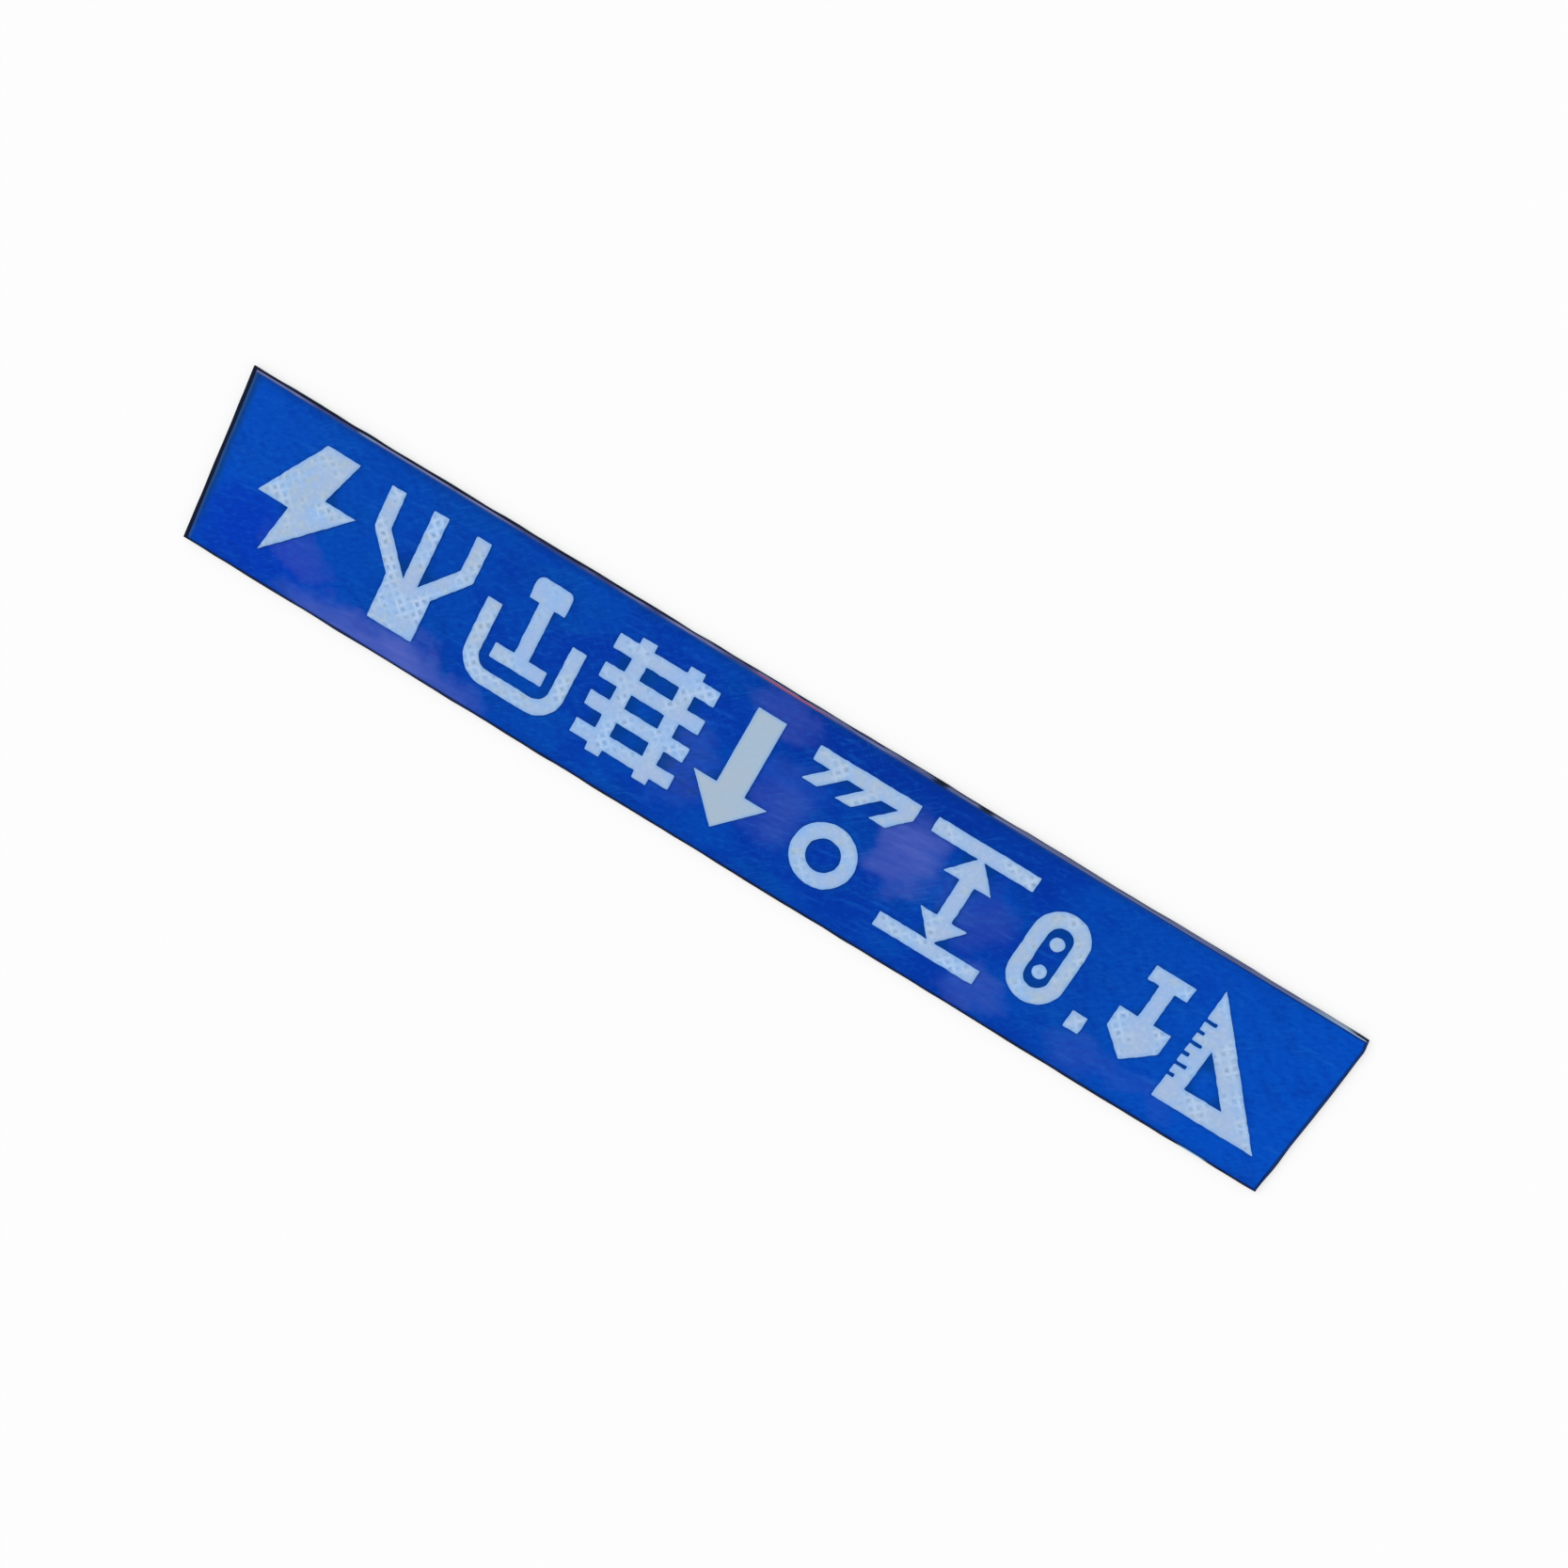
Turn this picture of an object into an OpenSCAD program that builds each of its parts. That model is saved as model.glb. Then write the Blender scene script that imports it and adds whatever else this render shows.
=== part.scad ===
// Cable route marker plate.
// A long, narrow sheet-metal composite panel: two thin aluminium skins bonded to a dark plastic core,
// cut to size on a guillotine. A sheet of blue prismatic film covers the front, and every white mark is
// a separate piece of white film laid on the blue one.
// The origin is the middle of the panel's back face. X runs along the length in reading direction,
// Y points to the upper long edge and Z points out of the front.

/* [Panel] */
// Length of the aluminium skins
plate_l = 400; // [388:1:600]
// Width of the aluminium skins
plate_w = 61; // [52:0.5:120]
// Thickness of each aluminium skin
skin_t = 0.2; // [0.15:0.05:0.5]
// Thickness of the dark plastic core
core_t = 1.6; // [1.2:0.1:4]
// How far the cut core stands out beyond the skins, all round
core_proud = 0.5; // [0.2:0.1:0.8]
// Height of the slope between a skin's edge and the core's widest line
core_slope_h = 0.5; // [0.2:0.1:0.7]
// Radius that the shear leaves along the front skin's upper edges
roll_r = 0.15; // [0.05:0.01:0.15]

/* [Blue film] */
// Thickness of the blue film with its adhesive
film_t = 0.4; // [0.2:0.05:0.6]
// Bare metal left beside the film at the left end
film_margin_left = 1.6; // [0.3:0.1:5]
// Bare metal left beside the film at the right end
film_margin_right = 1; // [0.3:0.1:5]
// Bare metal left above the film
film_margin_top = 0.7; // [0.3:0.1:2]
// Bare metal left below the film
film_margin_bottom = 0.6; // [0.3:0.1:2]

/* [White marks] */
// Thickness of the white film with its adhesive
mark_t = 0.4; // [0.2:0.05:0.6]
// Width of the strokes that the marks are drawn with
stroke_w = 5.3; // [4:0.1:6]
// Height of the large marks
mark_h = 41.8; // [38:0.1:48]
// Width of the large marks
mark_w = 36.4; // [34:0.1:37.5]
// How far the row of marks stands to the right of the film's middle
row_shift_x = 4.2; // [-8:0.1:8]
// How far the row of marks stands above the film's middle
row_shift_y = 0.5; // [-3:0.1:3]
// Gap between two large marks
mark_gap = 6; // [3:0.1:7]
// Gap on each side of the arrow
arrow_gap = 3.9; // [2:0.1:6]
// Gap on each side of a small mark
small_gap = 5.6; // [3:0.1:6.5]
// Height of the small marks
small_h = 32.8; // [30:0.1:36]
// How far the small marks stand above the foot of the large ones
small_lift = 4.4; // [0:0.1:8]

/* [Lightning bolt] */
// Width of the bolt
bolt_w = 33.2; // [28:0.1:34]
// Length of the flat top edge
bolt_top_w = 12; // [9:0.1:13]
// Height at which the left shoulder lies
bolt_left_y = 17.5; // [16:0.1:19]
// Height at which the right shoulder lies
bolt_right_y = 25.5; // [23:0.1:27]
// Length of each flat shoulder
bolt_shoulder_w = 11.5; // [9:0.1:13]
// How far the lower tip lies from the left side
bolt_tip_x = 7.5; // [4:0.1:9]

/* [Cable with three cores] */
// Width of the cable's sheath
sheath_w = 16.6; // [16:0.1:20]
// Height of the cable's sheath
sheath_h = 15.5; // [10:0.1:18]
// Height over which the outer cores spread
core_spread_h = 12; // [8:0.1:14]

/* [Rail and the cable below it] */
// Width of the rail's head
rail_head_w = 13; // [11:0.1:15]
// Height of the rail's head
rail_head_h = 8; // [6:0.1:10]
// Radius of the head's upper corners
rail_head_r = 2.5; // [1:0.1:3.5]
// Width of the rail's foot
rail_foot_w = 19; // [16:0.1:20]
// Gap between the rail's foot and the cable that bends below it
rail_gap = 4.6; // [3:0.1:7]
// Outer radius of the cable's bends
bend_r = 10; // [7:0.1:12]
// Height of the two ends of the cable
bend_end_y = 27; // [20:0.1:32]

/* [Track] */
// Distance between the centres of the two rails
track_gauge = 17.4; // [13:0.1:22]
// Number of sleepers
sleeper_n = 4; // [3:1:5]

/* [Arrow] */
// Width of the arrow's head
arrow_w = 26.8; // [22:0.1:28]
// Height of the whole arrow
arrow_h = 42.4; // [38:0.1:43]
// Width of the arrow's shaft
shaft_w = 10.2; // [7:0.1:14]
// Height of the arrow's head
head_h = 14.4; // [11:0.1:18]
// How far the arrow's tip reaches below the large marks
arrow_drop = 0.6; // [0:0.1:2]

/* [Ground line and the buried pipe] */
// Number of slanted ticks below the ground line
tick_n = 3; // [2:1:4]
// Width of each tick
tick_w = 4.2; // [3:0.1:5]
// How far each tick reaches below the ground line
tick_drop = 7; // [4:0.1:10]
// Outer diameter of the buried pipe
pipe_d = 22; // [18:0.1:26]

/* [Depth mark] */
// Width of the two arrow heads between the bars
depth_head_w = 17; // [12:0.1:22]
// Height of the two arrow heads between the bars
depth_head_h = 10; // [8:0.1:12]

/* [Duct with two cables] */
// Width of the duct's ring
duct_w = 19.3; // [18:0.1:21]
// Width of the ring's wall
duct_wall = 5.4; // [4.5:0.1:5.6]
// Diameter of each cable in the duct
duct_cable_d = 4.8; // [3:0.1:5]
// Distance between the centres of the two cables
duct_cable_pitch = 10.6; // [8:0.1:12]

/* [Square dot] */
// Width of the dot
dot_w = 5.4; // [4:0.1:7]
// Height of the dot
dot_h = 6.1; // [4:0.1:8]

/* [Spade] */
// Width of the spade's blade
spade_w = 18.3; // [14:0.1:20]
// Height of the blade's straight sides
blade_h = 7.5; // [5:0.1:10]
// Height of the blade's pointed end
blade_tip_h = 8; // [5:0.1:10]
// Width of the spade's grip
grip_w = 14; // [10:0.1:18]

/* [Set square] */
// Width of the set square's frame along its two short sides
square_band = 7.2; // [6.5:0.1:8.5]
// Distance between two graduation slots
slot_pitch = 4.2; // [3.5:0.1:6]
// Width of a graduation slot
slot_w = 1.3; // [0.8:0.1:1.6]
// Length of a short graduation slot
slot_l = 2.3; // [1.5:0.1:3]
// Length of every second slot
long_slot_l = 3.9; // [3:0.1:4.5]

/* [Hidden] */
$fn = 48;

metal = "#b9bfc9";
dark_plastic = "#10182a";
blue = "#0241af";
white = "#a4bcdc";

core_z = skin_t;
front_z = core_z + core_t;
film_z = front_z + skin_t;
mark_z = film_z + film_t;

film_l = plate_l - film_margin_left - film_margin_right;
film_w = plate_w - film_margin_top - film_margin_bottom;
film_x = -plate_l / 2 + film_margin_left;
film_y = -plate_w / 2 + film_margin_bottom;

// The row holds the bolt, six marks of the large width, the arrow and three small marks
row_l = bolt_w + 6 * mark_w + arrow_w + duct_w + dot_w + spade_w
    + 4 * mark_gap + 2 * arrow_gap + 4 * small_gap;

// Left side and foot of each mark, in reading order
mark_y = film_y + (film_w - mark_h) / 2 + row_shift_y;
small_y = mark_y + small_lift;
bolt_x = film_x + (film_l - row_l) / 2 + row_shift_x;
cable_x = bolt_x + bolt_w + mark_gap;
crossing_x = cable_x + mark_w + mark_gap;
track_x = crossing_x + mark_w + mark_gap;
arrow_x = track_x + mark_w + arrow_gap;
ground_x = arrow_x + arrow_w + arrow_gap;
depth_x = ground_x + mark_w + mark_gap;
duct_x = depth_x + mark_w + small_gap;
dot_x = duct_x + duct_w + small_gap;
spade_x = dot_x + dot_w + small_gap;
square_x = spade_x + spade_w + small_gap;

// Where two strokes of a mark meet, one reaches this deep into the other, so that they are one piece
lap = stroke_w / 4;
// A shape that cuts another reaches this far past its edge
over = 1;

// Panel

// A flat sheet whose cross-section is the same along both of its directions.
// The profile is given as a half section: distance out from the sheet's edge, and height.
module edged_sheet(length, width, edge) {
    intersection() {
        translate([0, width / 2 + over, 0])
            rotate([90, 0, 0])
                linear_extrude(width + 2 * over)
                    half_and_mirror(length / 2, edge);
        translate([-length / 2 - over, 0, 0])
            rotate([90, 0, 90])
                linear_extrude(length + 2 * over)
                    half_and_mirror(width / 2, edge);
    }
}

// A closed outline from the points of its right side: the same points mirrored make the left side.
module half_and_mirror(half, edge) {
    n = len(edge);
    polygon(concat(
        [for (p = edge) [half + p[0], p[1]]],
        [for (i = [n - 1:-1:0]) [-half - edge[i][0], edge[i][1]]]));
}

// The lower skin is a plain cut sheet.
module back_skin() {
    color(metal)
        edged_sheet(plate_l, plate_w, [[0, 0], [0, skin_t]]);
}

// The core springs out between the skins: it slopes to its widest line and stays upright between.
module core() {
    color(dark_plastic)
        translate([0, 0, core_z])
            edged_sheet(plate_l, plate_w, [
                [0, 0],
                [core_proud, core_slope_h],
                [core_proud, core_t - core_slope_h],
                [0, core_t]]);
}

// The blade comes down on the front skin and rolls its upper edge over.
module front_skin() {
    roll_steps = 4;
    color(metal)
        translate([0, 0, front_z])
            edged_sheet(plate_l, plate_w, concat(
                [[0, 0]],
                [for (i = [0:roll_steps])
                    let (a = 90 * i / roll_steps)
                    [-roll_r + roll_r * cos(a), skin_t - roll_r + roll_r * sin(a)]]));
}

// Film

// One sheet of blue film, trimmed a little short of the panel's edges.
module blue_film() {
    color(blue)
        translate([film_x, film_y, film_z])
            cube([film_l, film_w, film_t]);
}

// A piece of white film lies on the blue one, with the lower left corner of its shape at (x, y).
module white_piece(x, y) {
    color(white)
        translate([x, y, mark_z])
            linear_extrude(mark_t)
                children();
}

// A straight stroke with square ends from one point to another.
module stroke(from, to, w = stroke_w) {
    run = to - from;
    translate(from)
        rotate(atan2(run[1], run[0]))
            translate([0, -w / 2])
                square([norm(run), w]);
}

// A triangle that points up, with the middle of its base at the origin.
module arrow_head(w, h) {
    polygon([[-w / 2, 0], [w / 2, 0], [0, h]]);
}

// A slot shape: a rectangle with half-round ends above and below.
module upright_slot(w, h) {
    translate([0, w / 2])
        square([w, h - w]);
    for (y = [w / 2, h - w / 2])
        translate([w / 2, y])
            circle(d = w);
}

// A rectangle whose two lower corners are round.
module round_footed(w, h, r) {
    translate([0, r])
        square([w, h - r]);
    translate([r, 0])
        square([w - 2 * r, h]);
    for (x = [r, w - r])
        translate([x, r])
            circle(r = r);
}

// Marks, in reading order

module lightning_bolt() {
    white_piece(bolt_x, mark_y)
        polygon([
            [bolt_tip_x, 0],
            [bolt_w, bolt_right_y],
            [bolt_w - bolt_shoulder_w, bolt_right_y],
            [bolt_w - bolt_shoulder_w / 2, mark_h],
            [bolt_w - bolt_shoulder_w / 2 - bolt_top_w, mark_h],
            [0, bolt_left_y],
            [bolt_shoulder_w, bolt_left_y]]);
}

// The sheath's end is cut back, and its three cores fan out and run straight up.
module three_core_cable() {
    half_w = mark_w / 2;
    spread_y = sheath_h + core_spread_h;
    // How far an outer core leans over, and how much higher its inner edge bends than its outer one
    lean = atan2(half_w - sheath_w / 2, core_spread_h);
    bend_rise = stroke_w * tan(lean / 2);
    fork_y = spread_y + bend_rise - (half_w - 1.5 * stroke_w) / tan(lean);
    white_piece(cable_x, mark_y)
        translate([half_w, 0])
            half_and_mirror(0, [
                [sheath_w / 2, 0],
                [sheath_w / 2, sheath_h],
                [half_w, spread_y],
                [half_w, mark_h],
                [half_w - stroke_w, mark_h],
                [half_w - stroke_w, spread_y + bend_rise],
                [stroke_w / 2, fork_y],
                [stroke_w / 2, mark_h]]);
}

// A rail cut across: head with rounded corners, web and foot.
module rail_section() {
    foot_y = stroke_w + rail_gap;
    head_y = mark_h - rail_head_h;
    white_piece(crossing_x, mark_y)
        translate([mark_w / 2, 0]) {
            translate([-rail_foot_w / 2, foot_y])
                square([rail_foot_w, stroke_w]);
            stroke([0, foot_y + lap], [0, head_y + lap]);
            translate([-rail_head_w / 2, head_y])
                square([rail_head_w, rail_head_h - rail_head_r]);
            translate([-rail_head_w / 2 + rail_head_r, head_y])
                square([rail_head_w - 2 * rail_head_r, rail_head_h]);
            for (side = [-1, 1])
                translate([side * (rail_head_w / 2 - rail_head_r), mark_h - rail_head_r])
                    circle(r = rail_head_r);
        }
}

// A cable that comes down, bends below the rail and goes up again.
module crossing_cable() {
    white_piece(crossing_x, mark_y)
        difference() {
            round_footed(mark_w, bend_end_y, bend_r);
            translate([stroke_w, stroke_w])
                round_footed(mark_w - 2 * stroke_w, bend_end_y, bend_r - stroke_w);
        }
}

// Two rails seen from above, on sleepers at an even pitch.
module railway_track() {
    sleeper_pitch = mark_h / sleeper_n;
    white_piece(track_x, mark_y) {
        for (side = [-1, 1])
            translate([mark_w / 2 + side * track_gauge / 2 - stroke_w / 2, 0])
                square([stroke_w, mark_h]);
        for (i = [0:sleeper_n - 1])
            translate([0, (i + 0.5) * sleeper_pitch - stroke_w / 2])
                square([mark_w, stroke_w]);
    }
}

module down_arrow() {
    white_piece(arrow_x, mark_y - arrow_drop)
        translate([arrow_w / 2, head_h]) {
            rotate(180)
                arrow_head(arrow_w, head_h);
            stroke([0, -lap], [0, arrow_h - head_h], shaft_w);
        }
}

// The ground's surface with slanted ticks of earth below it.
module ground_line() {
    line_y = mark_h - stroke_w;
    tick_pitch = mark_w / tick_n;
    white_piece(ground_x, mark_y) {
        translate([0, line_y])
            square([mark_w, stroke_w]);
        intersection() {
            translate([0, line_y - tick_drop])
                square([mark_w, tick_drop + lap]);
            for (i = [0:tick_n - 1])
                translate([(i + 0.5) * tick_pitch, line_y - tick_drop / 2])
                    stroke([-2 * tick_drop, -2 * tick_drop], [2 * tick_drop, 2 * tick_drop], tick_w);
        }
    }
}

// The pipe below the ground, cut across.
module buried_pipe() {
    white_piece(ground_x, mark_y)
        translate([mark_w / 2, pipe_d / 2])
            difference() {
                circle(d = pipe_d);
                circle(d = pipe_d - 2 * stroke_w);
            }
}

// Two level bars with an arrow from one to the other.
module depth_mark() {
    bar_y = mark_h - stroke_w;
    white_piece(depth_x, mark_y) {
        for (y = [0, bar_y])
            translate([0, y])
                square([mark_w, stroke_w]);
        for (side = [-1, 1])
            translate([mark_w / 2, mark_h / 2 + side * (mark_h / 2 - stroke_w - depth_head_h + lap)])
                rotate(side * 90 - 90)
                    arrow_head(depth_head_w, depth_head_h);
        stroke([mark_w / 2, depth_head_h], [mark_w / 2, mark_h - depth_head_h]);
    }
}

module duct_ring() {
    white_piece(duct_x, small_y)
        difference() {
            upright_slot(duct_w, small_h);
            translate([duct_wall, duct_wall])
                upright_slot(duct_w - 2 * duct_wall, small_h - 2 * duct_wall);
        }
}

// One round cable in the duct, above or below the middle.
module duct_cable(side) {
    white_piece(duct_x, small_y)
        translate([duct_w / 2, small_h / 2 + side * duct_cable_pitch / 2])
            circle(d = duct_cable_d);
}

module duct_cable_upper() {
    duct_cable(1);
}

module duct_cable_lower() {
    duct_cable(-1);
}

module square_dot() {
    white_piece(dot_x, small_y)
        square([dot_w, dot_h]);
}

// Grip, shaft and a blade that comes to a point.
module spade() {
    blade_top = blade_tip_h + blade_h;
    white_piece(spade_x, small_y)
        translate([spade_w / 2, 0]) {
            polygon([
                [0, 0],
                [spade_w / 2, blade_tip_h],
                [spade_w / 2, blade_top],
                [-spade_w / 2, blade_top],
                [-spade_w / 2, blade_tip_h]]);
            stroke([0, blade_top - lap], [0, small_h - lap]);
            translate([-grip_w / 2, small_h - stroke_w])
                square([grip_w, stroke_w]);
        }
}

// A drawing triangle: a frame of even width round a window, with graduation slots in its upright side.
module set_square() {
    slope = norm([mark_w, mark_h]);
    // The window's sides lie one band in from the upright, the foot and the slope
    window_w = mark_w - square_band - square_band * (slope + mark_w) / mark_h;
    window_h = window_w * mark_h / mark_w;
    slot_n = floor((mark_h - square_band - 2 * slot_pitch) / slot_pitch);
    white_piece(square_x, mark_y)
        difference() {
            polygon([[0, 0], [mark_w, 0], [0, mark_h]]);
            translate([square_band, square_band])
                polygon([[0, 0], [window_w, 0], [0, window_h]]);
            for (i = [1:slot_n])
                translate([-over, square_band + (i - 0.5) * slot_pitch - slot_w / 2])
                    square([over + (i % 2 == 1 ? slot_l : long_slot_l), slot_w]);
        }
}

back_skin();
core();
front_skin();
blue_film();
lightning_bolt();
three_core_cable();
rail_section();
crossing_cable();
railway_track();
down_arrow();
ground_line();
buried_pipe();
depth_mark();
duct_ring();
duct_cable_upper();
duct_cable_lower();
square_dot();
spade();
set_square();
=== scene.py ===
import math

import bmesh
import bpy
import numpy as np
from mathutils import Matrix, Vector
from mathutils.geometry import delaunay_2d_cdt


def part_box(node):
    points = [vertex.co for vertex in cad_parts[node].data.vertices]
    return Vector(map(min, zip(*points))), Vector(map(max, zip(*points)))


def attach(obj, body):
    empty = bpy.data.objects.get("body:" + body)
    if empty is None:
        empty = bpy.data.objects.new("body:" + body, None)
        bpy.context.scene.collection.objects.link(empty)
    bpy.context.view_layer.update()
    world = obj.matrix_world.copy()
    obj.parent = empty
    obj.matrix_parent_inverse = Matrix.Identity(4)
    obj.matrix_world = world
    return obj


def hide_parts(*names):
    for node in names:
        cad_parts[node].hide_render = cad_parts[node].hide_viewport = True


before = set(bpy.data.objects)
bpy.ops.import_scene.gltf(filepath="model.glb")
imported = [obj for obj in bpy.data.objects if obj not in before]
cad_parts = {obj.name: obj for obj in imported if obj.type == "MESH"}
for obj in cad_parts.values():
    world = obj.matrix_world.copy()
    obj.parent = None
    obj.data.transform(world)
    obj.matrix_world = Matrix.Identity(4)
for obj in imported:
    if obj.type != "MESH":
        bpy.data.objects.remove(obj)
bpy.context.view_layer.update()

# Camera. A phone is held over the upper long edge, tilted down to the plate and turned in the
# hand, so that the plate runs down to the right. Sizes in this file are in millimetres, and MM
# turns them into metres where a mesh, a lamp or a camera is made.
MM = 0.001
phone_lens = 37.58
phone_sensor = 36.0
phone_place = Vector((28.63, 171.4, 482.2))
phone_aim = Vector((7.955, 4.092, 2.4))
phone_turn = math.radians(-142.034)

ahead = (phone_aim - phone_place).normalized()
level = ahead.cross(Vector((0, 0, 1))).normalized()
above = level.cross(ahead)
right = math.cos(phone_turn) * level + math.sin(phone_turn) * above
up = math.cos(phone_turn) * above - math.sin(phone_turn) * level
phone = bpy.data.objects.new("phone", bpy.data.cameras.new("phone"))
phone.data.lens = phone_lens
phone.data.sensor_width = phone_sensor
facing = Matrix((right, up, -ahead)).transposed().to_4x4()
phone.matrix_world = Matrix.Translation(phone_place * MM) @ facing
bpy.context.scene.collection.objects.link(phone)
bpy.context.scene.camera = phone
bpy.context.scene.view_settings.view_transform = "Standard"


# Light and floor. The plate lies on white board in soft, even light, with one wide lamp to
# the left. The sky and the lamp together give a level of 1, so that colours render as written.
class Wire:
    """One output of a shader node. Python's operators on wires add the Math nodes."""

    def __init__(self, finish, socket):
        self.finish = finish
        self.socket = socket

    def maths(self, operation, *values):
        return self.finish.node("Math", {"operation": operation}, dict(enumerate(values)))

    def __add__(self, other):
        return self.maths("ADD", self, other)

    def __sub__(self, other):
        return self.maths("SUBTRACT", self, other)

    def __rsub__(self, other):
        return self.maths("SUBTRACT", other, self)

    def __mul__(self, other):
        return self.maths("MULTIPLY", self, other)

    def __truediv__(self, other):
        return self.maths("DIVIDE", self, other)

    def __pow__(self, other):
        return self.maths("POWER", self, other)

    __radd__ = __add__
    __rmul__ = __mul__

    def larger(self, other):
        return self.maths("MAXIMUM", self, other)

    def smaller(self, other):
        return self.maths("MINIMUM", self, other)

    def rise(self, low, high):
        """0 before low, 1 past high and a smooth step between; low may be the larger one."""
        sockets = {"Value": self, "From Min": low, "From Max": high}
        return self.finish.node("MapRange", {"interpolation_type": "SMOOTHSTEP"}, sockets)


class Finish:
    """The node tree of one material or sky, cleared and ready to be filled."""

    def __init__(self, holder):
        holder.use_nodes = True
        self.holder = holder
        self.tree = holder.node_tree
        self.tree.nodes.clear()

    def node(self, kind, settings, sockets, out=0):
        """Adds one node: its settings first, then the values or wires of its sockets."""
        made = self.tree.nodes.new("ShaderNode" + kind)
        for name, value in settings.items():
            setattr(made, name, value)
        for name, value in sockets.items():
            if isinstance(value, Wire):
                self.tree.links.new(value.socket, made.inputs[name])
            else:
                made.inputs[name].default_value = value
        return Wire(self, made.outputs[out]) if made.outputs else None

    def stored(self, name):
        """The number that each point of the mesh carries under this name."""
        return self.node("Attribute", {"attribute_name": name}, {}, "Fac")


SKY_SHARE = 0.72
LAMP_SPREAD = math.radians(50)
LAMP_FROM = Vector((-0.80, 0.35, 0.95)).normalized()
WHITE_LIGHT = (1, 1, 1, 1)
BOARD_WHITE = (0.985, 0.985, 0.985, 1)
BOARD_HALF = 4.0
BOARD_GAP = 0.02
SHADOW_KEPT = 0.5

sky = Finish(bpy.data.worlds.new("sky"))
seen = sky.node("LightPath", {}, {}, "Is Camera Ray")
for ray in ("Is Glossy Ray", "Is Transmission Ray"):
    seen = seen.larger(sky.node("LightPath", {}, {}, ray))
glow = sky.node("Background", {}, {
    "Color": WHITE_LIGHT, "Strength": SKY_SHARE + seen * (1 - SKY_SHARE)})
sky.node("OutputWorld", {}, {"Surface": glow})
bpy.context.scene.world = sky.holder

lamp = bpy.data.objects.new("wide_lamp", bpy.data.lights.new("wide_lamp", "SUN"))
lamp.data.energy = (1 - SKY_SHARE) * math.pi / LAMP_FROM.z
lamp.data.angle = LAMP_SPREAD
lamp.rotation_mode = "QUATERNION"
lamp.rotation_quaternion = LAMP_FROM.to_track_quat("Z", "Y")
bpy.context.scene.collection.objects.link(lamp)

board = Finish(bpy.data.materials.new("white_board"))
lit = board.node("BsdfPrincipled", {}, {
    "Base Color": BOARD_WHITE, "Roughness": 1.0, "Specular IOR Level": 0.0})
plain = board.node("Emission", {}, {"Color": BOARD_WHITE, "Strength": 1.0})
seen = board.node("LightPath", {}, {}, "Is Camera Ray")
board.node("OutputMaterial", {}, {"Surface": board.node("MixShader", {}, {
    0: seen * (1 - SHADOW_KEPT), 1: lit, 2: plain})})
board_mesh = bpy.data.meshes.new("board")
corners = np.array([(-1, -1, 0), (1, -1, 0), (1, 1, 0), (-1, 1, 0)]) * BOARD_HALF
board_mesh.from_pydata((corners - (0, 0, BOARD_GAP * MM)).tolist(), [], [(0, 1, 2, 3)])
board_mesh.materials.append(board.holder)
floor = bpy.data.objects.new("board", board_mesh)
bpy.context.scene.collection.objects.link(floor)


# Aluminium skins. Two thin sheets of mill-finish aluminium are bonded to the core and sheared
# with it. The shear rolls the front one's edge over and leaves both edges slightly wavy. The
# upper right corner is knocked back, and the front one's rim is smeared and nicked in places.
# The rim's colours are painted light: pale lit tones and painted highlights along its upper edge,
# painted shade on its other edges, black painted shade on its outer edge where it rolls over and
# a painted cyan reflection near the lower right corner.
def tone(red, green, blue):
    """A colour given as screen values of 0 to 255, as the linear numbers a shader takes."""
    share = np.array((red, green, blue)) / 255
    linear = np.where(share <= 0.04045, share / 12.92, ((share + 0.055) / 1.055) ** 2.4)
    return (*linear.tolist(), 1.0)


def in_millimetres(finish):
    """The place on the plate, in millimetres."""
    metres = finish.node("TexCoord", {}, {}, "Object")
    return finish.node("VectorMath", {"operation": "SCALE"}, {0: metres, "Scale": 1 / MM})


def parts(place, axes="XY"):
    """The parts of a place along these axes, one wire each."""
    return [place.finish.node("SeparateXYZ", {}, {0: place}, axis) for axis in axes]


def cloud(finish, place, size, detail=2.0, stretch=(1, 1, 1), shift=(0, 0, 0), turn=0.0):
    """Soft noise round 0.5 whose blotches are about size millimetres, drawn out by stretch
    along its own axes, which are turned from the plate's."""
    laid = finish.node("Mapping", {"vector_type": "TEXTURE"}, {
        "Vector": place, "Location": shift, "Rotation": (0, 0, turn),
        "Scale": tuple(size * s for s in stretch)})
    return finish.node("TexNoise", {}, {"Vector": laid, "Scale": 1.0, "Detail": detail})


def stirred(finish, place, size, reach):
    """The place, led astray by up to half of reach in soft swirls about size millimetres wide."""
    swirl = finish.node("TexNoise", {}, {"Vector": place, "Scale": 1 / size, "Detail": 3.0}, 1)
    astray = finish.node("VectorMath", {"operation": "SUBTRACT"}, {0: swirl, 1: (0.5, 0.5, 0.5)})
    return finish.node("VectorMath", {"operation": "MULTIPLY_ADD"}, {
        0: astray, 1: (reach, reach, reach), 2: place})


def between(finish, low, high, share):
    """Goes from one colour to another as share goes from 0 to 1."""
    return finish.node("Mix", {"data_type": "RGBA"}, {0: share, 6: low, 7: high}, 2)


def patch(x, y, middle, reach):
    """A soft oval: 1 in its middle, falling to 0 at its reach along and across the plate."""
    far = ((x - middle[0]) / reach[0]) ** 2.0 + ((y - middle[1]) / reach[1]) ** 2.0
    return far.rise(1.0, 0.0)


RELIEF_SHARE = 0.5


def surface(finish, colour, roughness, specular, height, depth, metallic=0.0):
    """Ends a material: its colour and roughness, and a relief of that depth in millimetres."""
    relief = finish.node("Bump", {}, {
        "Strength": RELIEF_SHARE, "Distance": depth * MM, "Height": height})
    shader = finish.node("BsdfPrincipled", {}, {
        "Base Color": colour, "Metallic": metallic, "Roughness": roughness,
        "Specular IOR Level": specular, "Normal": relief})
    finish.node("OutputMaterial", {}, {"Surface": shader})
    return finish.holder


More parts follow.
